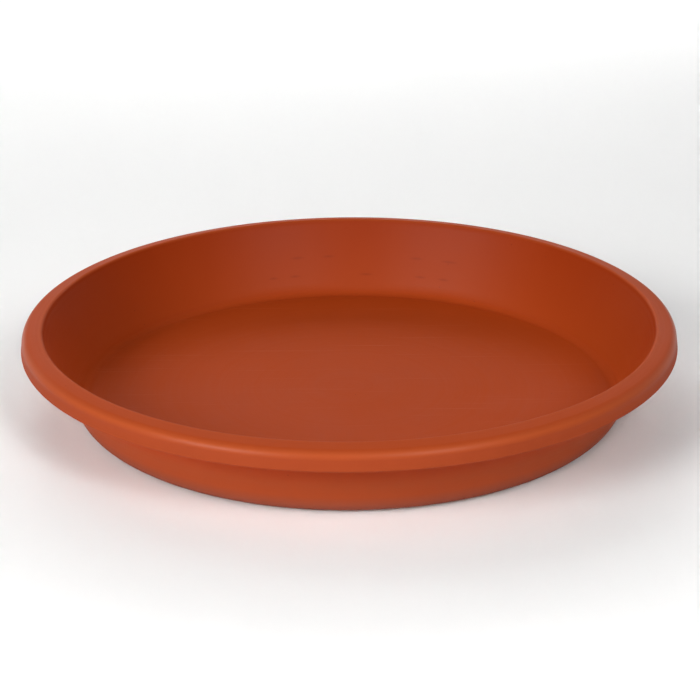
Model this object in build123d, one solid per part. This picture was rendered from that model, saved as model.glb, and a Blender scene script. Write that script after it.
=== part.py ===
from build123d import *

import math
import os

# A round plant saucer, moulded in one piece: a flat floor, a flared wall and a hollow, turned-down rim.
# Lengths are in millimetres and angles in degrees. The origin is the centre of the base, and +Z is up.

# Overall sizes
rim_diameter = 300.0  # across the outside of the skirt
height = 40.0  # from the surface it stands on to the top of the rim
wall_lean = 24.3  # how far the wall flares from upright

# Thicknesses of the moulding
wall_thickness = 2.2  # square to the wall's faces
floor_thickness = 2.4
rim_thickness = 2.2  # the flat top of the rim
skirt_thickness = 2.0

# The rim, which turns out and down and leaves an open channel behind its skirt
rim_width = 9.8  # from the mouth to the outside of the skirt
skirt_depth = 9.3  # from the top of the rim to the skirt's lower edge
shoulder_radius = 6.3  # where the top rolls over into the skirt
lip_radius = 1.4  # where the wall turns out into the rim
hem_radius = 0.9  # both edges of the skirt's lower end
channel_root_radius = 1.2  # where the rim's underside meets the wall

# The base
base_corner_radius = 8.5  # outside, between the wall and the foot
floor_fillet_radius = 3.0  # inside, between the floor and the wall
foot_height = 1.2  # how far the foot ring holds the floor off the ground
foot_width = 8.0  # the flat ring that it stands on
foot_edge_radius = 0.6  # inner edge of the foot ring
gate_dish_diameter = 14.0  # the shallow dish that keeps the moulding gate off the ground
gate_dish_depth = 0.7
gate_dish_draft = 30.0  # slope of the dish's side from upright
gate_nib_diameter = 2.6  # the trimmed end of the gate
gate_nib_height = 0.4

# Worked out from the sizes above
rim_radius = rim_diameter / 2
mouth_radius = rim_radius - rim_width
flare = math.tan(math.radians(wall_lean))
wall_run = wall_thickness / math.cos(math.radians(wall_lean))
floor_top = foot_height + floor_thickness
skirt_bottom = height - skirt_depth
channel_roof = height - rim_thickness
skirt_inside = rim_radius - skirt_thickness


def inner_wall(z):
    """Radius of the wall's inner face, before rounding, at height z."""
    return mouth_radius - (height - z) * flare


def outer_wall(z):
    """Radius of the wall's outer face, before rounding, at height z."""
    return inner_wall(z) + wall_run


def rounding(radius, *walls):
    """The radius asked for, or as much of it as the walls beside the corner leave room for."""
    return min(radius, *walls)


def saucer_section():
    """Half of the saucer's cross-section on the XZ plane, from the axis out to the skirt and back to the axis.

    Each corner is (radius from the axis, height, rounding): along the floor, up the wall, over the rim, down the
    skirt, up behind it, down the outside of the wall and in under the foot ring.
    """
    # the arc at a corner of half-angle a takes radius / tan(a) of each side
    base_corner_reach = math.tan(math.radians(45 - wall_lean / 2))
    base_radius = outer_wall(0)
    foot_inside = base_radius - base_corner_radius * base_corner_reach - foot_width

    rim_room = rim_width - lip_radius
    skirt_room = skirt_depth - hem_radius
    shoulder = rounding(shoulder_radius, rim_room, skirt_room)
    channel_width = skirt_inside - outer_wall(channel_roof)
    channel_root = rounding(channel_root_radius, 0.3 * channel_width)
    channel_crown = rounding(max(shoulder - skirt_thickness, channel_root), 0.6 * channel_width)
    hem = rounding(hem_radius, 0.48 * skirt_thickness)
    foot_edge = rounding(foot_edge_radius, 0.9 * foot_height)

    corners = [
        (inner_wall(floor_top), floor_top, floor_fillet_radius),
        (mouth_radius, height, lip_radius),
        (rim_radius, height, shoulder),
        (rim_radius, skirt_bottom, hem),
        (skirt_inside, skirt_bottom, hem),
        (skirt_inside, channel_roof, channel_crown),
        (outer_wall(channel_roof), channel_roof, channel_root),
        (base_radius, 0, base_corner_radius),
        (foot_inside, 0, foot_edge),
        (foot_inside, foot_height, 0),
    ]
    floor_centre = (0, floor_top)
    underside_centre = (0, foot_height)
    turns = [(radius, z) for radius, z, _ in corners]
    outline = FilletPolyline(
        floor_centre, *turns, underside_centre, radius=[rounded for _, _, rounded in corners]
    )
    axis_line = Line(underside_centre, floor_centre)
    return Plane.XZ * make_face([*outline.edges(), axis_line])


def gate_mark():
    """The dish in the middle of the underside, and the nib of the trimmed gate that stands inside it."""
    dish_top = foot_height + gate_dish_depth
    mouth = gate_dish_diameter / 2
    crown = mouth - gate_dish_depth * math.tan(math.radians(gate_dish_draft))
    dish = Pos(0, 0, foot_height + gate_dish_depth / 2) * Cone(mouth, crown, gate_dish_depth)
    nib = Pos(0, 0, dish_top - gate_nib_height / 2) * Cylinder(gate_nib_diameter / 2, gate_nib_height)
    return dish - nib


def saucer():
    """The whole moulding: the section turned once round the axis, less the gate mark."""
    return revolve(saucer_section(), Axis.Z) - gate_mark()


os.makedirs("parts", exist_ok=True)
export_step(saucer(), "parts/saucer.step")
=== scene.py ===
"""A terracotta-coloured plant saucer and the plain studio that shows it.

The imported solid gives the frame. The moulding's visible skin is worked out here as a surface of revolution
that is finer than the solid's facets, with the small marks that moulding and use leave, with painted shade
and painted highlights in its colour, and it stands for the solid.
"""

import math
from types import SimpleNamespace
from typing import NamedTuple

import bpy
import numpy as np
from mathutils import Matrix, Vector


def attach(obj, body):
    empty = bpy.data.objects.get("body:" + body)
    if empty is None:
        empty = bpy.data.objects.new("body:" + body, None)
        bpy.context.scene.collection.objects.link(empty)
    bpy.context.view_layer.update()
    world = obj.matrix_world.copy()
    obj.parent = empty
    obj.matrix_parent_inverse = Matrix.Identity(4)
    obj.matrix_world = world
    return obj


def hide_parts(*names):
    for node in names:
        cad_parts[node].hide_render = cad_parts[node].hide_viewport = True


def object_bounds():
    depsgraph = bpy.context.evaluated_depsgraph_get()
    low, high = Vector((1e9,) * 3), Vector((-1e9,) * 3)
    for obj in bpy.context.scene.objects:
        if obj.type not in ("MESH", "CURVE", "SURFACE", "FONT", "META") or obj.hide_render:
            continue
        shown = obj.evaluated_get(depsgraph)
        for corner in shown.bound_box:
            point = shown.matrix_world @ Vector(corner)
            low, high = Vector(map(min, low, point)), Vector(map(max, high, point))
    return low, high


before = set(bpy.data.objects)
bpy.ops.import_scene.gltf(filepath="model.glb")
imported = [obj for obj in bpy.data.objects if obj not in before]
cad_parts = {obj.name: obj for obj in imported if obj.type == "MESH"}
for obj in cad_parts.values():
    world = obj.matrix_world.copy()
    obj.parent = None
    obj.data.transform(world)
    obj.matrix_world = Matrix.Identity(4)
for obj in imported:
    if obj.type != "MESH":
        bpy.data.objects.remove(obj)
CAD_LOW, CAD_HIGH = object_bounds()

bl_info = {
    "name": "Plant Saucer",
    "version": (1, 0, 0),
    "blender": (4, 5, 0),
    "location": "View3D > Sidebar > Saucer",
    "description": "Builds a moulded plant saucer and the studio that shows it",
    "category": "Add Mesh",
}

MM = 0.001
CAD_WIDTH_MM = round((CAD_HIGH.x - CAD_LOW.x) / MM)
CAD_HEIGHT_MM = round((CAD_HIGH.z - CAD_LOW.z) / MM)
PHOTO_SIDE = 700  # pixels along each side of the picture
SENSOR_WIDTH = 36.0  # millimetres, across the whole picture


def length(name, description, millimetres):
    """A property that holds a length in metres."""
    return bpy.props.FloatProperty(
        name=name, description=description, default=millimetres * MM, subtype="DISTANCE", unit="LENGTH"
    )


def angle(name, description, degrees):
    """A property that holds an angle in radians."""
    return bpy.props.FloatProperty(
        name=name, description=description, default=math.radians(degrees), subtype="ANGLE", unit="ROTATION"
    )


def share(name, description, default):
    """A property that holds a plain number of 0 or more."""
    return bpy.props.FloatProperty(name=name, description=description, default=default, min=0.0)


def colour(name, description, default):
    """A property that holds a linear colour."""
    return bpy.props.FloatVectorProperty(
        name=name, description=description, default=default, size=3, min=0.0, max=1.0, subtype="COLOR"
    )


class SaucerSizes(bpy.types.PropertyGroup):
    """The moulding's sizes. The two overall ones come from the solid."""

    rim_diameter: length("Rim diameter", "Across the outside of the skirt", CAD_WIDTH_MM)
    height: length("Height", "From the ground to the top of the rim", CAD_HEIGHT_MM)
    wall_lean: angle("Wall lean", "How far the wall flares from upright", 24.3)
    wall_thickness: length("Wall thickness", "Square to the wall's faces", 2.2)
    floor_thickness: length("Floor thickness", "Of the dish's floor", 2.4)
    rim_thickness: length("Rim thickness", "Of the rim's top", 2.2)
    skirt_thickness: length("Skirt thickness", "Of the rim's turned-down skirt", 2.0)
    rim_width: length("Rim width", "From the mouth to the outside of the skirt", 9.8)
    skirt_depth: length("Skirt depth", "From the rim's top to the skirt's lower edge", 9.3)
    rim_fall: angle("Rim fall", "How far the rim's top falls outwards", 9.0)
    skirt_lean: angle("Skirt lean", "How far the skirt flares towards its lower edge", 8.0)
    shoulder_radius: length("Shoulder radius", "Where the rim's top turns down into the skirt", 4.3)
    lip_radius: length("Lip radius", "Where the wall turns out into the rim", 1.4)
    hem_radius: length("Hem radius", "Both edges of the skirt's lower end", 0.9)
    channel_root_radius: length("Channel root radius", "Where the rim's underside meets the wall", 1.2)
    base_corner_radius: length("Base corner radius", "Outside, between the wall and the foot", 8.5)
    floor_fillet_radius: length("Floor fillet radius", "Inside, between the floor and the wall", 4.0)
    foot_height: length("Foot height", "How far the foot ring holds the floor off the ground", 1.2)
    foot_width: length("Foot width", "The flat ring that the saucer stands on", 8.0)
    foot_edge_radius: length("Foot edge radius", "Inner edges of the foot ring", 0.6)
    gate_dish_diameter: length("Gate dish diameter", "The shallow dish round the moulding gate", 14.0)
    gate_dish_depth: length("Gate dish depth", "How deep that dish is", 0.7)
    gate_nib_diameter: length("Gate nib diameter", "The trimmed end of the gate", 2.6)
    gate_nib_height: length("Gate nib height", "How far the nib stands out of the dish", 0.4)
    arc_step: angle("Arc step", "Turn between neighbouring rows on a rounded edge", 9.0)
    run_step: length("Run step", "Most that rows on a flat face stand apart", 4.0)
    round_step: angle("Round step", "Turn between neighbouring columns round the axis", 1.0)


class SaucerFinish(bpy.types.PropertyGroup):
    """The plastic's colours and surface, and how strong each kind of wear and of painted light and shade is.
    """

    terracotta: colour("Terracotta", "The plastic's own colour, as high up inside", (0.294, 0.0290, 0.0010))
    pale_terracotta: colour("Pale", "Where the pigment is thin", (0.40, 0.060, 0.011))
    # Laid over the dish's inside, fully at the foot of the wall and fading towards the rim: paler low down.
    washed_terracotta: colour("Washed", "Low inside, where water has stood", (0.348, 0.0450, 0.0050))
    handled_terracotta: colour("Handled", "The outer wall, dulled by handling", (0.378, 0.0600, 0.0140))
    # Painted shade: the skirt is painted darker than the rim's top.
    rubbed_terracotta: colour("Rubbed", "The rim's skirt, rubbed by handling", (0.308, 0.0462, 0.0115))
    # Painted light: the rim's top is painted lighter than the skirt.
    worn_terracotta: colour("Worn", "The rim's top, worn by pots and hands", (0.352, 0.0508, 0.0106))
    # Painted highlight along the rim's crest and, more faintly, its lip.
    edge_terracotta: colour("Edge", "The rim's crest and lip, rubbed palest", (0.385, 0.0665, 0.0160))
    # Painted shade in the band high outside, under the rim's overhang.
    sheltered_terracotta: colour("Sheltered", "High outside, under the rim", (0.43, 0.0445, 0.0062))
    # Painted shade in the floor's corner, where floor and wall meet.
    silted_terracotta: colour("Silted", "The floor's corner, where silt settles", (0.250, 0.0270, 0.0040))
    # Dust and painted shade at the outside corner of the base, next to the ground.
    dusty_terracotta: colour("Dusty", "The outside corner of the base", (0.250, 0.0680, 0.0400))
    scuffed_terracotta: colour("Scuffed", "Fine scuffs on the floor", (0.440, 0.0900, 0.0300))
    dark_pigment: colour("Dark pigment", "Specks in the plastic, and the rub marks", (0.160, 0.0180, 0.0040))
    pigment_thinness: share("Pigment thinness", "How pale the pigment is in the middle of its range", 0.1)
    # How far the flat floor takes the paler low colour.
    floor_paling: share("Floor wash", "How far the flat floor is washed pale", 0.8)
    handled_least: share("Handled least", "How dull the outside is where it is handled least", 0.75)
    # How much the painted shade under the rim shows.
    under_rim_shade_strength: share("Shelter strength", "How much the band under the rim shows", 0.8)
    # How much of the painted highlight the lip takes, beside the crest's.
    lip_highlight_strength: share("Lip strength", "How far the lip is rubbed beside the crest", 0.5)
    # How much the painted shade in the floor's corner shows.
    corner_shade_strength: share("Silt strength", "How much the silt shows", 0.12)
    # How much the dust and painted shade at the base's corner show.
    dust_and_shade_strength: share("Dust strength", "How much the dust shows", 0.8)
    scuff_strength: share("Scuff strength", "How much the scuffs show", 0.15)
    speck_strength: share("Speck strength", "How dark the specks are", 0.7)
    rub_mark_strength: share("Rub mark strength", "How dark the marks of stacked saucers are", 0.36)
    roughness: share("Roughness", "Middle roughness of the satin surface", 0.46)
    floor_roughness: share("Floor roughness", "How much rougher pots have left the floor", 0.09)
    rim_roughness: share("Rim roughness", "How much rougher the rim's lip and top are", 0.10)
    outside_roughness: share("Outside roughness", "How much rougher the wall and skirt are outside", 0.18)
    silt_roughness: share("Silt roughness", "How much rougher silt has left the floor's corner", 0.25)
    crest_polish: share("Crest polish", "How much smoother hands have left the rim's crest", 0.10)
    scuff_polish: share("Scuff polish", "How much smoother the scuffs are", 0.08)
    gloss: share("Gloss", "Specular level of the plastic", 0.1)


class StudioSettings(bpy.types.PropertyGroup):
    """The floor, lamps and camera."""

    view_distance: length("View distance", "From the camera to what it looks at", 860.0)
    view_elevation: angle("View elevation", "How high the camera stands", 22.0)
    view_roll: angle("View roll", "Turn of the camera about its own line of sight", -0.36)
    view_target: bpy.props.FloatVectorProperty(
        name="View target", description="The point at the middle of the picture", size=3, unit="LENGTH",
        default=(0.32 * MM, 0.0, 21.75 * MM),
    )
    focal_pixels: share("Focal length", "Focal length in pixels of the picture", 1850.0)
    paper: colour("Paper", "Colour of the paper sweep", (0.95, 0.95, 0.945))
    paper_depth: length("Paper depth", "How far light travels inside the paper", 12.0)
    key_power: share("Key power", "Watts of the lamp at the front left", 16.9)
    fill_power: share("Fill power", "Watts of the lamp at the front right", 11.4)
    back_power: share("Back power", "Watts of the lamp behind, which lights but isn't mirrored", 13.5)
    paper_power: share("Paper power", "Watts of the lamp over the paper behind", 3.5)
    front_power: share("Front power", "Watts of the lamp with a grid over the paper in front", 0.45)
    sky_strength: share("Sky strength", "Light from all round", 0.0)
    sky_shown: share("Sky shown", "Brightness of the sky where it is seen or mirrored", 0.75)
    backdrop_shown: share("Backdrop shown", "Glow of the upright paper where it is seen or mirrored", 0.75)


def section_corners(sizes):
    """The half section's corners, from the floor's middle to the underside's: radius, height and rounding.

    Each wall is a line, radius = a + b (z - height): a is its radius at the saucer's height and b its flare.
    The rim's top is z = height + rise - (radius - mouth) tan(fall). A second face lies a thickness away,
    square to the first. The rise lets the rounded lip just reach the height, and the spread lets the rounded
    hem just reach the diameter.
    """
    flare, fall, pull = math.tan(sizes.wall_lean), math.tan(sizes.rim_fall), math.tan(sizes.skirt_lean)
    rim = sizes.rim_diameter / 2
    mouth = rim - sizes.rim_width
    floor_top = sizes.foot_height + sizes.floor_thickness
    skirt_bottom = sizes.height - sizes.skirt_depth
    lip_reach = 1 / math.cos(sizes.wall_lean) - flare
    rise = sizes.lip_radius * (lip_reach * fall + 1 / math.cos(sizes.rim_fall) - 1)
    spread = sizes.hem_radius * (pull + 1 / math.cos(sizes.skirt_lean) - 1)
    inner = (mouth, flare)
    outer = (mouth + sizes.wall_thickness / math.cos(sizes.wall_lean), flare)
    skirt = (rim + spread - sizes.skirt_depth * pull, -pull)
    skirt_back = (skirt[0] - sizes.skirt_thickness / math.cos(sizes.skirt_lean), -pull)

    def at(wall, z):
        return wall[0] + wall[1] * (z - sizes.height), z

    def under_top(wall, drop):
        above = (rise - drop - (wall[0] - mouth) * fall) / (1 + wall[1] * fall)
        return at(wall, sizes.height + above)

    roof_drop = sizes.rim_thickness / math.cos(sizes.rim_fall)
    corner_reach = sizes.base_corner_radius * math.tan(math.pi / 4 - sizes.wall_lean / 2)
    foot_inside = at(outer, 0)[0] - corner_reach - sizes.foot_width
    dish_top = sizes.foot_height + sizes.gate_dish_depth
    dish = sizes.gate_dish_diameter / 2
    nib = sizes.gate_nib_diameter / 2
    edge = sizes.foot_edge_radius
    return np.array([
        (0, floor_top, 0),
        (*at(inner, floor_top), sizes.floor_fillet_radius),
        (*under_top(inner, 0), sizes.lip_radius),
        (*under_top(skirt, 0), sizes.shoulder_radius),
        (*at(skirt, skirt_bottom), sizes.hem_radius),
        (*at(skirt_back, skirt_bottom), sizes.hem_radius),
        (*under_top(skirt_back, roof_drop), sizes.shoulder_radius - sizes.skirt_thickness),
        (*under_top(outer, roof_drop), sizes.channel_root_radius),
        (*at(outer, 0), sizes.base_corner_radius),
        (foot_inside, 0, edge),
        (foot_inside, sizes.foot_height, edge),
        (dish, sizes.foot_height, edge / 2),
        (dish - sizes.gate_dish_depth / 2, dish_top, edge / 2),
        (nib, dish_top, edge / 4),
        (nib, dish_top - sizes.gate_nib_height, edge / 4),
        (0, dish_top - sizes.gate_nib_height, 0),
    ])


ARC_HOLD = 0.12 * MM  # from the end of a rounded edge to the row that keeps its shading off the flat face


def rounded_profile(corners, arc_step, run_step):
    """The section's points, as an array of radius and height, with every corner rounded.

    A corner that turns the outline by t, with rounding R, has its arc's ends R tan(t/2) back along both sides
    and its centre R / cos(t/2) away on the inside. Straight runs get rows at most run_step apart, and one
    close to each arc.
    """
    ends, rows = corners[0, :2], [corners[:1, :2]]
    for before, corner, after in zip(corners[:-2], corners[1:-1], corners[2:]):
        came = (corner[:2] - before[:2]) / np.linalg.norm(corner[:2] - before[:2])
        goes = (after[:2] - corner[:2]) / np.linalg.norm(after[:2] - corner[:2])
        turn = math.atan2(came[0] * goes[1] - came[1] * goes[0], came @ goes)
        reach = corner[2] * math.tan(abs(turn) / 2)
        start = corner[:2] - reach * came
        side = math.copysign(1.0, turn) * np.array([-came[1], came[0]])
        centre = start + corner[2] * side
        steps = np.linspace(0, turn, max(2, math.ceil(abs(turn) / arc_step)) + 1)[:, None]
        arc = centre - corner[2] * (side * np.cos(steps) - came * np.sign(turn) * np.sin(steps))
        rows += [straight_run(ends, start, run_step), arc]
        ends = arc[-1]
    rows += [straight_run(ends, corners[-1, :2], run_step), corners[-1:, :2]]
    return np.concatenate(rows)


def straight_run(start, end, run_step):
    """Points between two ends, left out themselves: one a hold away from each, and the rest evenly spaced."""
    span = np.linalg.norm(end - start)
    if span < 3 * ARC_HOLD:
        return np.empty((0, 2))
    along = np.linspace(ARC_HOLD, span - ARC_HOLD, max(2, math.ceil(span / run_step) + 1))
    return start + (end - start) * (along / span)[:, None]


def turned_mesh(name, profile, around):
    """A closed mesh of the profile turned once round Z: point = (r cos a, r sin a, z) for even steps of a.

    The profile's first and last points lie on the axis and become single points, joined by fans.
    """
    turn = np.linspace(0, 2 * math.pi, around, endpoint=False)
    radius, height = profile[1:-1].T[:, :, None]
    grid = np.stack(np.broadcast_arrays(radius * np.cos(turn), radius * np.sin(turn), height), axis=-1)
    poles = np.array([(0, 0, profile[0, 1]), (0, 0, profile[-1, 1])])
    points = np.concatenate([grid.reshape(-1, 3), poles])
    index = np.arange(grid.shape[0] * around).reshape(-1, around)
    ahead = np.roll(index, -1, axis=1)
    quads = np.stack([index[:-1], index[1:], ahead[1:], ahead[:-1]], axis=-1).reshape(-1, 4)
    top, bottom = len(points) - 2, len(points) - 1
    first_fan = np.stack([np.full(around, top), index[0], ahead[0]], axis=-1)
    last_fan = np.stack([np.full(around, bottom), ahead[-1], index[-1]], axis=-1)
    mesh = bpy.data.meshes.new(name)
    mesh.from_pydata(points.tolist(), [], [*quads.tolist(), *first_fan.tolist(), *last_fan.tolist()])
    mesh.shade_smooth()
    return mesh


def mark_outside(mesh, sizes):
    """Store the attribute outside: 1 on the outside and underside, 0 in the dish, blended over the rim's top.

    A point is outside where it lies beyond the wall's middle surface, or below the floor's.
    """
    points = np.empty(len(mesh.vertices) * 3)
    mesh.vertices.foreach_get("co", points)
    x, y, z = points.reshape(-1, 3).T
    mouth = sizes.rim_diameter / 2 - sizes.rim_width
    middle = mouth - (sizes.height - z) * math.tan(sizes.wall_lean)
    middle += sizes.wall_thickness / math.cos(sizes.wall_lean) / 2
    beyond = (np.hypot(x, y) - middle) / sizes.wall_thickness + 0.5
    below = z < sizes.foot_height + sizes.floor_thickness / 2
    values = np.maximum(np.clip(beyond, 0, 1), below)
    mesh.attributes.new("outside", "FLOAT", "POINT").data.foreach_set("value", values)


def shown(name, data):
    """A new object at the origin, linked into the scene."""
    made = bpy.data.objects.new(name, data)
    bpy.context.scene.collection.objects.link(made)
    return made


def new_material(name):
    """A material with nodes, and its shader."""
    material = bpy.data.materials.new(name)
    material.use_nodes = True
    return material, material.node_tree.nodes["Principled BSDF"]


def add_node(tree, kind, values, **settings):
    """A new node with its settings, and with each input set to a value or fed by another node's output."""
    made = tree.nodes.new(kind)
    for name, value in settings.items():
        setattr(made, name, value)
    for socket, value in values.items():
        if isinstance(value, bpy.types.NodeSocket):
            tree.links.new(value, made.inputs[socket])
        else:
            made.inputs[socket].default_value = value
    return made


def noise(tree, place, scale, detail=2.0, roughness=0.5):
    """A cloudy pattern from 0 to 1 whose features are about 1 / scale across."""
    values = {"Vector": place, "Scale": scale, "Detail": detail, "Roughness": roughness}
    return add_node(tree, "ShaderNodeTexNoise", values).outputs["Fac"]


def remap(tree, value, low, high, to_low=0.0, to_high=1.0):
    """A value carried from one range to another, and held at its ends."""
    ranges = {"Value": value, "From Min": low, "From Max": high, "To Min": to_low, "To Max": to_high}
    return add_node(tree, "ShaderNodeMapRange", ranges).outputs["Result"]


def falling(tree, value, low, high):
    """1 up to the low end of a range, and 0 from its high end."""
    return remap(tree, value, low, high, 1.0, 0.0)


def maths(tree, operation, first, second):
    """Two numbers put together."""
    return add_node(tree, "ShaderNodeMath", {0: first, 1: second}, operation=operation).outputs[0]


def times(tree, first, second):
    """The product of two numbers."""
    return maths(tree, "MULTIPLY", first, second)


def without(tree, first, second):
    """What is left of one amount after another is taken off, and never less than 0."""
    return maths(tree, "MAXIMUM", maths(tree, "SUBTRACT", first, second), 0.0)


def vector_maths(tree, operation, output, *values):
    """A result of one or two vectors."""
    made = add_node(tree, "ShaderNodeVectorMath", dict(enumerate(values)), operation=operation)
    return made.outputs[output]


def weighted(tree, patterns, weights):
    """A sum of named patterns, each moved to centre on 0 and times its weight."""
    total = 0.0
    for name, weight in weights.items():
        centred = remap(tree, patterns[name], 0.0, 1.0, -weight, weight)
        total = maths(tree, "ADD", centred, total)
    return total


def blended(tree, amount, first, second):
    """One colour laid over another by an amount from 0 to 1."""
    mix = add_node(tree, "ShaderNodeMix", {"Factor": amount}, data_type="RGBA")
    for socket, value in zip((mix.inputs[6], mix.inputs[7]), (first, second)):
        if isinstance(value, bpy.types.NodeSocket):
            tree.links.new(value, socket)
        else:
            socket.default_value = (*value, 1)
    return mix.outputs[2]


def surface_places(tree):
    """Where a point of the skin is: in space, in the section, from the axis and on which side."""
    place = add_node(tree, "ShaderNodeTexCoord", {}).outputs["Object"]
    flat = vector_maths(tree, "MULTIPLY", "Vector", place, (1, 1, 0))
    distance = vector_maths(tree, "LENGTH", "Value", flat)
    height = add_node(tree, "ShaderNodeSeparateXYZ", {"Vector": place}).outputs["Z"]
    return SimpleNamespace(
        place=place,
        outward=vector_maths(tree, "NORMALIZE", "Vector", flat),
        distance=distance,
        height=height,
        section=add_node(tree, "ShaderNodeCombineXYZ", {"X": distance, "Y": height}).outputs["Vector"],
        outside=add_node(tree, "ShaderNodeAttribute", {}, attribute_name="outside").outputs["Fac"],
    )


STREAK_DRIFT = 1.6  # how fast a streak changes on its way out from the gate
SPECKS_PER_METRE = 95.0
SPECK_SIZE = (0.022, 0.034)  # of the space between specks: where one begins to fade, and its edge


def plastic_patterns(tree, spot):
    """The plastic's own unevenness, each pattern from 0 to 1.

    Streaks flow out from the gate in the middle: a cloud read at (direction from the axis, distance from it).
    Rings are the lines of a turned mould: a cloud read at (distance, height). The rest are read in space.
    """
    drift = times(tree, spot.distance, STREAK_DRIFT)
    slow = add_node(tree, "ShaderNodeCombineXYZ", {"Z": drift}).outputs["Vector"]
    flow = vector_maths(tree, "ADD", "Vector", spot.outward, slow)
    cells = add_node(tree, "ShaderNodeTexVoronoi", {"Vector": spot.place, "Scale": SPECKS_PER_METRE})
    return {
        "clouds": noise(tree, spot.place, scale=26.0, detail=3.0),
        "streaks": noise(tree, flow, scale=7.0, detail=3.0, roughness=0.6),
        "speckle": noise(tree, spot.place, scale=1500.0, detail=1.0),
        "rings": noise(tree, spot.section, scale=650.0, detail=2.0, roughness=0.6),
        "grain": noise(tree, spot.place, scale=2400.0, detail=1.0),
        "specks": falling(tree, cells.outputs["Distance"], *SPECK_SIZE),
    }


RUB_MARKS = (
    # height on the wall's inside, then each mark's angle in degrees and half length; lengths in millimetres
    (22.2, ((101.9, 4.4), (94.7, 4.0), (74.3, 4.2), (66.5, 5.4))),
    (13.4, ((108.1, 3.0), (102.8, 3.6), (85.9, 4.4), (72.9, 3.8), (67.2, 3.6))),
)
RUB_MARK_HALF_WIDTH = 0.8 * MM
RUB_MARK_REACH = 6.0 * MM  # how far a mark goes into the wall, so that its whole curve is on the surface
RUB_MARK_CORE = 0.15  # the share of a mark that is fully dark


def rub_marks(tree, place, sizes):
    """Short marks in two rings, left by stacked saucers: 1 along a mark's middle, falling to 0 at its edge.

    Each is an ellipsoid that lies along the wall, centred on its inner face.
    """
    marks = 0.0
    for height, ring in RUB_MARKS:
        z = height * MM
        radius = sizes.rim_diameter / 2 - sizes.rim_width - (sizes.height - z) * math.tan(sizes.wall_lean)
        for degrees, half_length in ring:
            turn = math.radians(degrees)
            local = add_node(tree, "ShaderNodeMapping", {
                "Vector": place,
                "Location": (radius * math.cos(turn), radius * math.sin(turn), z),
                "Rotation": (0, 0, turn),
                "Scale": (RUB_MARK_REACH, half_length * MM, RUB_MARK_HALF_WIDTH),
            }, vector_type="TEXTURE").outputs["Vector"]
            away = vector_maths(tree, "LENGTH", "Value", local)
            marks = maths(tree, "MAXIMUM", falling(tree, away, RUB_MARK_CORE, 1.0), marks)
    return marks


SCUFF_TURNS = (0.35, 1.5, 2.4)  # radians, the directions in which pots were dragged
SCUFF_STRETCH = (9, 420, 9)  # features per metre along a scuff, across it and upwards
SCUFF_CUT = (0.66, 0.74)  # where in the cloud's range a scuff begins and is full


def floor_scuffs(tree, place):
    """Fine straight scuffs from dragged pots: clouds stretched along one direction and cut off below."""
    scuffs = 0.0
    for turn in SCUFF_TURNS:
        values = {"Vector": place, "Rotation": (0, 0, turn), "Scale": SCUFF_STRETCH}
        lines = add_node(tree, "ShaderNodeMapping", values).outputs["Vector"]
        cut = remap(tree, noise(tree, lines, scale=1.0), *SCUFF_CUT)
        scuffs = maths(tree, "MAXIMUM", cut, scuffs)
    return scuffs


class Ring(NamedTuple):
    """A band round the axis: its middle in the section, and how far from it the mark on the band is full and
    gone.
    """

    radius: float
    height: float
    full: float
    gone: float


def wear_places(sizes):
    """Where wear and painted light and shade lie: pairs of heights between which they come in or fade, and
    rings round the axis.
    """
    top = sizes.height
    rim = sizes.rim_diameter / 2
    mouth = rim - sizes.rim_width
    skirt_bottom = top - sizes.skirt_depth
    floor_top = sizes.foot_height + sizes.floor_thickness
    fillet_top = floor_top + sizes.floor_fillet_radius
    corner = mouth - (top - floor_top) * math.tan(sizes.wall_lean)
    return SimpleNamespace(
        floor_edge=(floor_top, floor_top + 0.9 * MM),
        fillet=(floor_top, fillet_top),
        wall=(fillet_top, top),
        wall_foot=(fillet_top, fillet_top + 2 * MM),
        base_corner=(3 * MM, sizes.base_corner_radius + 1 * MM),
        under_rim=(16 * MM, 23 * MM),
        skirt_foot=(skirt_bottom - 1 * MM, skirt_bottom + 1 * MM),
        skirt_head=(top - 6 * MM, top - 4 * MM),
        rim_head=(top - 2.4 * MM, top - 1.6 * MM),
        crest=Ring(rim - 1.65 * MM, top - 2.5 * MM, full=0.3 * MM, gone=2.2 * MM),
        lip=Ring(mouth + 0.6 * MM, top, full=0.5 * MM, gone=1.6 * MM),
        # Where painted shade lies in the floor's corner.
        shaded_corner=Ring(corner - 0.3 * MM, floor_top + 0.8 * MM, full=1.0 * MM, gone=3.5 * MM),
    )


def near_ring(tree, section, ring):
    """1 on a ring round the axis, falling to 0 away from it: read from the distance to it in the section."""
    away = vector_maths(tree, "DISTANCE", "Value", section, (ring.radius, ring.height, 0))
    return falling(tree, away, ring.full, ring.gone)


CLOUD_RANGE = (0.3, 0.7)  # where nearly all of a cloud's values lie


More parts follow.
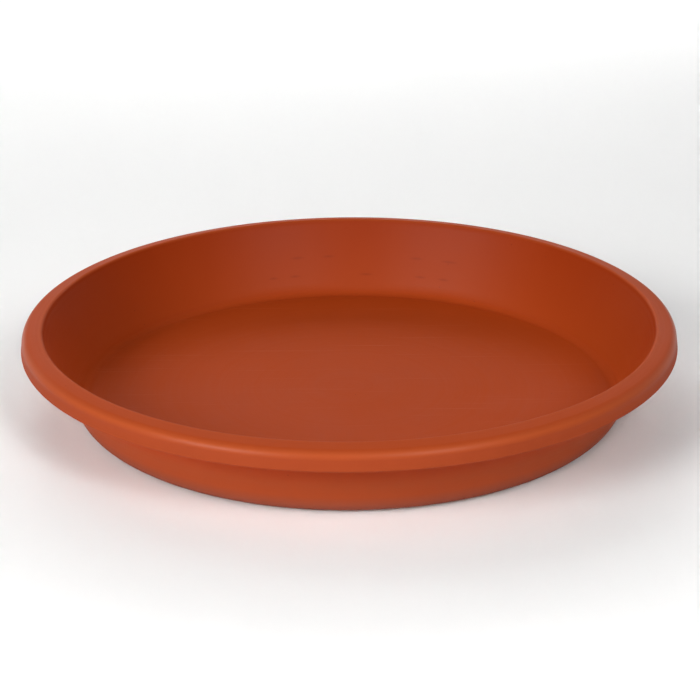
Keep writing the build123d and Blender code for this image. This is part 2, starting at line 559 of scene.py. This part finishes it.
def wear_masks(tree, spot, patterns, finish, sizes):
    """How much of each kind of wear, and of painted light and shade, a point has, from 0 to 1."""
    at = wear_places(sizes)
    height, outside = spot.height, spot.outside
    crest = near_ring(tree, spot.section, at.crest)
    floor_paling = remap(tree, height, *at.fillet, finish.floor_paling, 1.0)
    handled = remap(tree, patterns["clouds"], *CLOUD_RANGE, finish.handled_least, 1.0)
    return SimpleNamespace(
        # Paler low down inside the dish.
        paler_low=maths(tree, "MINIMUM", floor_paling, falling(tree, height, *at.wall)),
        low_inside=without(tree, falling(tree, height, *at.wall_foot), outside),
        # Painted shade in the floor's corner; the roughness uses it too.
        shaded_corner=near_ring(tree, spot.section, at.shaded_corner),
        scuffs=times(tree, floor_scuffs(tree, spot.place), falling(tree, height, *at.floor_edge)),
        rub_marks=rub_marks(tree, spot.place, sizes),
        handled=times(tree, outside, handled),
        low_outside=times(tree, outside, falling(tree, height, *at.skirt_head)),
        # Dust and painted shade at the base's corner.
        dust_and_shade=times(tree, outside, falling(tree, height, *at.base_corner)),
        # Painted shade under the rim.
        under_rim_shade=times(tree, outside, remap(tree, height, *at.under_rim)),
        # Painted shade on the skirt.
        skirt=times(tree, outside, remap(tree, height, *at.skirt_foot)),
        # Painted light on the rim's top, which is also rougher.
        rim_top=without(tree, remap(tree, height, *at.rim_head), crest),
        # The crest: a painted highlight in the colour, and smoother in the roughness.
        crest=crest,
        # The lip: a painted highlight in the colour.
        lip=near_ring(tree, spot.section, at.lip),
    )


PIGMENT_WEIGHTS = {"clouds": 0.12, "streaks": 0.09, "speckle": 0.08}
SATIN_WEIGHTS = {"clouds": 0.07, "rings": 0.05, "speckle": 0.03}
RELIEF_WEIGHTS = {"rings": 0.35, "grain": 0.5, "clouds": 0.15}
RELIEF_DEPTH = 0.012 * MM
RELIEF_STRENGTH = 0.6


def wear_and_painted_light_colour(tree, spot, patterns, wear, finish):
    """The plastic's own colour, with each kind of wear, painted light and shade, and pigment laid over it in
    turn.
    """
    # Painted highlight on the rim's crest and lip.
    edge_highlights = maths(tree, "MAXIMUM", wear.crest, times(tree, wear.lip, finish.lip_highlight_strength))
    thin = maths(tree, "ADD", weighted(tree, patterns, PIGMENT_WEIGHTS), finish.pigment_thinness)
    specks = times(tree, patterns["specks"], finish.speck_strength)
    marks = times(tree, wear.rub_marks, finish.rub_mark_strength)
    colour_now = finish.terracotta
    for amount, laid_over in (
        # Paler low down inside the dish.
        (wear.paler_low, finish.washed_terracotta),
        (wear.handled, finish.handled_terracotta),
        # Painted shade under the rim.
        (times(tree, wear.under_rim_shade, finish.under_rim_shade_strength), finish.sheltered_terracotta),
        # Painted shade on the skirt.
        (wear.skirt, finish.rubbed_terracotta),
        # Painted light on the rim's top.
        (times(tree, wear.rim_top, spot.outside), finish.worn_terracotta),
        (edge_highlights, finish.edge_terracotta),
        # Painted shade in the floor's corner.
        (times(tree, wear.shaded_corner, finish.corner_shade_strength), finish.silted_terracotta),
        (thin, finish.pale_terracotta),
        # Dust and painted shade at the base's corner.
        (times(tree, wear.dust_and_shade, finish.dust_and_shade_strength), finish.dusty_terracotta),
        (times(tree, wear.scuffs, finish.scuff_strength), finish.scuffed_terracotta),
        (maths(tree, "MAXIMUM", specks, marks), finish.dark_pigment),
    ):
        colour_now = blended(tree, amount, colour_now, laid_over)
    return colour_now


def worn_roughness(tree, patterns, wear, finish):
    """The satin surface's roughness, with what each kind of wear adds to it or takes off."""
    satin = maths(tree, "ADD", weighted(tree, patterns, SATIN_WEIGHTS), finish.roughness)
    for amount, change in (
        (wear.low_inside, finish.floor_roughness),
        (wear.low_outside, finish.outside_roughness),
        (wear.shaded_corner, finish.silt_roughness),
        (wear.rim_top, finish.rim_roughness),
        (wear.crest, -finish.crest_polish),
        (wear.scuffs, -finish.scuff_polish),
    ):
        satin = maths(tree, "ADD", satin, times(tree, amount, change))
    return satin


def satin_terracotta(finish, sizes):
    """Satin polypropylene, as it leaves a turned mould and after some use.

    The dish is paler low down, with a scoured and scuffed floor, painted shade in its corner and rub marks on
    its wall. Outside it is dulled and rougher, with painted shade under the rim, and with dust and painted
    shade at the base's corner. The rim's top is painted lighter and its skirt darker, as painted light and
    shade; its lip and crest carry a painted highlight, and hands have polished the crest.
    """
    material, shader = new_material("satin_terracotta")
    tree = material.node_tree
    spot = surface_places(tree)
    patterns = plastic_patterns(tree, spot)
    wear = wear_masks(tree, spot, patterns, finish, sizes)
    relief = weighted(tree, patterns, RELIEF_WEIGHTS)
    values = {"Height": relief, "Strength": RELIEF_STRENGTH, "Distance": RELIEF_DEPTH}
    bump = add_node(tree, "ShaderNodeBump", values).outputs["Normal"]
    tree.links.new(wear_and_painted_light_colour(tree, spot, patterns, wear, finish), shader.inputs["Base Color"])
    tree.links.new(worn_roughness(tree, patterns, wear, finish), shader.inputs["Roughness"])
    tree.links.new(bump, shader.inputs["Normal"])
    shader.inputs["Specular IOR Level"].default_value = finish.gloss
    return material


def seen_or_mirrored(tree):
    """1 for a ray from the camera, a glossy mirroring or clear glass, and 0 for one that carries light."""
    rays = tree.nodes.new("ShaderNodeLightPath").outputs
    glossy_or_camera = maths(tree, "MAXIMUM", rays["Is Camera Ray"], rays["Is Glossy Ray"])
    return maths(tree, "MAXIMUM", glossy_or_camera, rays["Is Transmission Ray"])


UPRIGHT_HEIGHTS = (0.0, 0.5)  # metres, between which the rising paper turns white
STAGE_EDGE = (0.8, 2.0)  # metres from the saucer, between which the lamps' light fails


def paper_sweep(studio):
    """The matt paper that the saucer stands on, which lets some light through.

    Its upright part, and its floor beyond the lamps' reach, are white wherever they are seen or mirrored.
    """
    material, shader = new_material("paper_sweep")
    tree = material.node_tree
    place = add_node(tree, "ShaderNodeTexCoord", {}).outputs["Object"]
    across, along, height = add_node(tree, "ShaderNodeSeparateXYZ", {"Vector": place}).outputs
    upright = remap(tree, height, *UPRIGHT_HEIGHTS, 0.0, studio.backdrop_shown)
    sideways = maths(tree, "ABSOLUTE", across, 0.0)
    away = maths(tree, "MAXIMUM", sideways, times(tree, along, -1.0))
    off_stage = remap(tree, away, *STAGE_EDGE, 0.0, studio.backdrop_shown)
    glow = times(tree, maths(tree, "MAXIMUM", upright, off_stage), seen_or_mirrored(tree))
    tree.links.new(glow, shader.inputs["Emission Strength"])
    shader.inputs["Emission Color"].default_value = (1, 1, 1, 1)
    shader.inputs["Base Color"].default_value = (*studio.paper, 1)
    shader.inputs["Roughness"].default_value = 0.9
    shader.inputs["Specular IOR Level"].default_value = 0.1
    shader.subsurface_method = "BURLEY"
    shader.inputs["Subsurface Weight"].default_value = 1.0
    shader.inputs["Subsurface Radius"].default_value = (1, 1, 1)
    shader.inputs["Subsurface Scale"].default_value = studio.paper_depth
    return material


class SAUCER_OT_shell(bpy.types.Operator):
    """Build the moulding's skin and let it stand for the solid"""

    bl_idname = "saucer.shell"
    bl_label = "Saucer Shell"

    def execute(self, context):
        sizes, finish = context.scene.saucer_sizes, context.scene.saucer_finish
        profile = rounded_profile(section_corners(sizes), sizes.arc_step, sizes.run_step)
        around = round(2 * math.pi / sizes.round_step)
        shell = shown("saucer_shell", turned_mesh("saucer_shell", profile, around))
        mark_outside(shell.data, sizes)
        shell.data.materials.append(satin_terracotta(finish, sizes))
        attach(shell, "root")
        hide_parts("saucer")
        return {"FINISHED"}


class Lamp(NamedTuple):
    """A soft lamp that faces a point on the floor.

    It stands away from there by its two angles, in degrees, and its distance. Gloss may mirror it or not.
    """

    name: str
    aim: tuple
    azimuth: float
    elevation: float
    distance: float
    width: float
    height: float
    spread: float = 180
    mirrored: bool = False


LAMPS = (
    Lamp("key", (0, 0), -43.5, 28, 1.5, 0.7, 0.5, mirrored=True),
    Lamp("fill", (0, 0), 28.5, 37, 1.5, 0.5, 0.55, mirrored=True),
    Lamp("back", (0, 0), 180, 26, 1.6, 1.4, 0.4),
    Lamp("paper", (-0.4, 0.7), 180, 80, 1.2, 0.7, 0.6),
    Lamp("front", (0, -0.55), 0, 90, 0.6, 0.4, 0.1, spread=70),
)


def direction(azimuth, elevation):
    """Unit vector towards a place in the studio. Azimuth 0 is the camera's side, 90 the right."""
    return Vector((
        math.sin(azimuth) * math.cos(elevation),
        -math.cos(azimuth) * math.cos(elevation),
        math.sin(elevation),
    ))


class SAUCER_OT_studio(bpy.types.Operator):
    """Set the paper, the lamps and the camera"""

    bl_idname = "saucer.studio"
    bl_label = "Studio"

    def execute(self, context):
        studio = context.scene.saucer_studio
        self.sweep(studio)
        self.lamps(studio)
        self.sky(context.scene, studio)
        self.camera(context.scene, studio)
        context.scene.view_settings.view_transform = "Standard"
        return {"FINISHED"}

    def sweep(self, studio):
        """Paper on the floor that rises far behind: a line, a quarter round and a line, carried across."""
        front, back, bend, top, half_width = -6.0, 1.7, 0.8, 4.0, 6.0
        bend_rows = 24
        steps = np.linspace(0, math.pi / 2, bend_rows)
        arc = np.stack([back + bend * np.sin(steps), bend - bend * np.cos(steps)], axis=-1)
        path = np.concatenate([[(front, 0)], arc, [(back + bend, top)]])
        sides = np.array([-half_width, half_width])
        points = np.stack([
            np.broadcast_to(sides, (len(path), 2)),
            np.broadcast_to(path[:, :1], (len(path), 2)),
            np.broadcast_to(path[:, 1:], (len(path), 2)),
        ], axis=-1).reshape(-1, 3)
        left = np.arange(len(path) - 1) * 2
        faces = np.stack([left, left + 1, left + 3, left + 2], axis=-1)
        mesh = bpy.data.meshes.new("paper_sweep")
        mesh.from_pydata(points.tolist(), [], faces.tolist())
        mesh.shade_smooth()
        paper = shown("paper_sweep", mesh)
        paper.data.materials.append(paper_sweep(studio))

    def lamps(self, studio):
        """Soft lamps round the saucer and over the paper, themselves out of the picture."""
        for kind in LAMPS:
            light = bpy.data.lights.new(f"{kind.name}_lamp", "AREA")
            light.shape = "RECTANGLE"
            light.size, light.size_y = kind.width, kind.height
            light.spread = math.radians(kind.spread)
            light.energy = getattr(studio, f"{kind.name}_power")
            lamp = shown(light.name, light)
            towards = direction(math.radians(kind.azimuth), math.radians(kind.elevation))
            lamp.location = Vector((*kind.aim, 0)) + towards * kind.distance
            lamp.rotation_euler = towards.to_track_quat("Z", "Y").to_euler()
            lamp.visible_camera = False
            lamp.visible_glossy = kind.mirrored

    def sky(self, scene, studio):
        """A sky that is white only where it is seen or mirrored."""
        world = bpy.data.worlds.new("sky")
        world.use_nodes = True
        tree = world.node_tree
        strength = remap(tree, seen_or_mirrored(tree), 0.0, 1.0, studio.sky_strength, studio.sky_shown)
        tree.links.new(strength, tree.nodes["Background"].inputs["Strength"])
        tree.nodes["Background"].inputs["Color"].default_value = (1, 1, 1, 1)
        scene.world = world

    def camera(self, scene, studio):
        """A camera that stands back from its target along the line of sight, rolled a little about it."""
        data = bpy.data.cameras.new("view")
        data.sensor_width = SENSOR_WIDTH
        data.lens = studio.focal_pixels / PHOTO_SIDE * SENSOR_WIDTH
        camera = shown("view", data)
        back = direction(0.0, studio.view_elevation)
        camera.location = Vector(studio.view_target) + back * studio.view_distance
        aim = (-back).to_track_quat("-Z", "Y").to_matrix()
        camera.rotation_euler = (aim @ Matrix.Rotation(studio.view_roll, 3, "Z")).to_euler()
        scene.camera = camera


class SAUCER_PT_panel(bpy.types.Panel):
    """The saucer's operators and settings in the sidebar"""

    bl_idname = "SAUCER_PT_panel"
    bl_label = "Plant Saucer"
    bl_space_type = "VIEW_3D"
    bl_region_type = "UI"
    bl_category = "Saucer"

    def draw(self, context):
        for operator in (SAUCER_OT_shell, SAUCER_OT_studio):
            self.layout.operator(operator.bl_idname)
        for group in (context.scene.saucer_sizes, context.scene.saucer_finish, context.scene.saucer_studio):
            box = self.layout.box()
            for name in group.bl_rna.properties.keys():
                if name not in {"rna_type", "name"}:
                    box.prop(group, name)


GROUPS = {
    "saucer_sizes": SaucerSizes,
    "saucer_finish": SaucerFinish,
    "saucer_studio": StudioSettings,
}
CLASSES = (*GROUPS.values(), SAUCER_OT_shell, SAUCER_OT_studio, SAUCER_PT_panel)


def register():
    """Add the classes, and a group of settings of each kind to every scene."""
    for cls in CLASSES:
        bpy.utils.register_class(cls)
    for name, group in GROUPS.items():
        setattr(bpy.types.Scene, name, bpy.props.PointerProperty(type=group))


def unregister():
    """Take away what register added."""
    for name in GROUPS:
        delattr(bpy.types.Scene, name)
    for cls in reversed(CLASSES):
        bpy.utils.unregister_class(cls)


def main():
    """Build the saucer and its studio."""
    register()
    bpy.ops.saucer.shell()
    bpy.ops.saucer.studio()


if __name__ == "__main__":
    main()
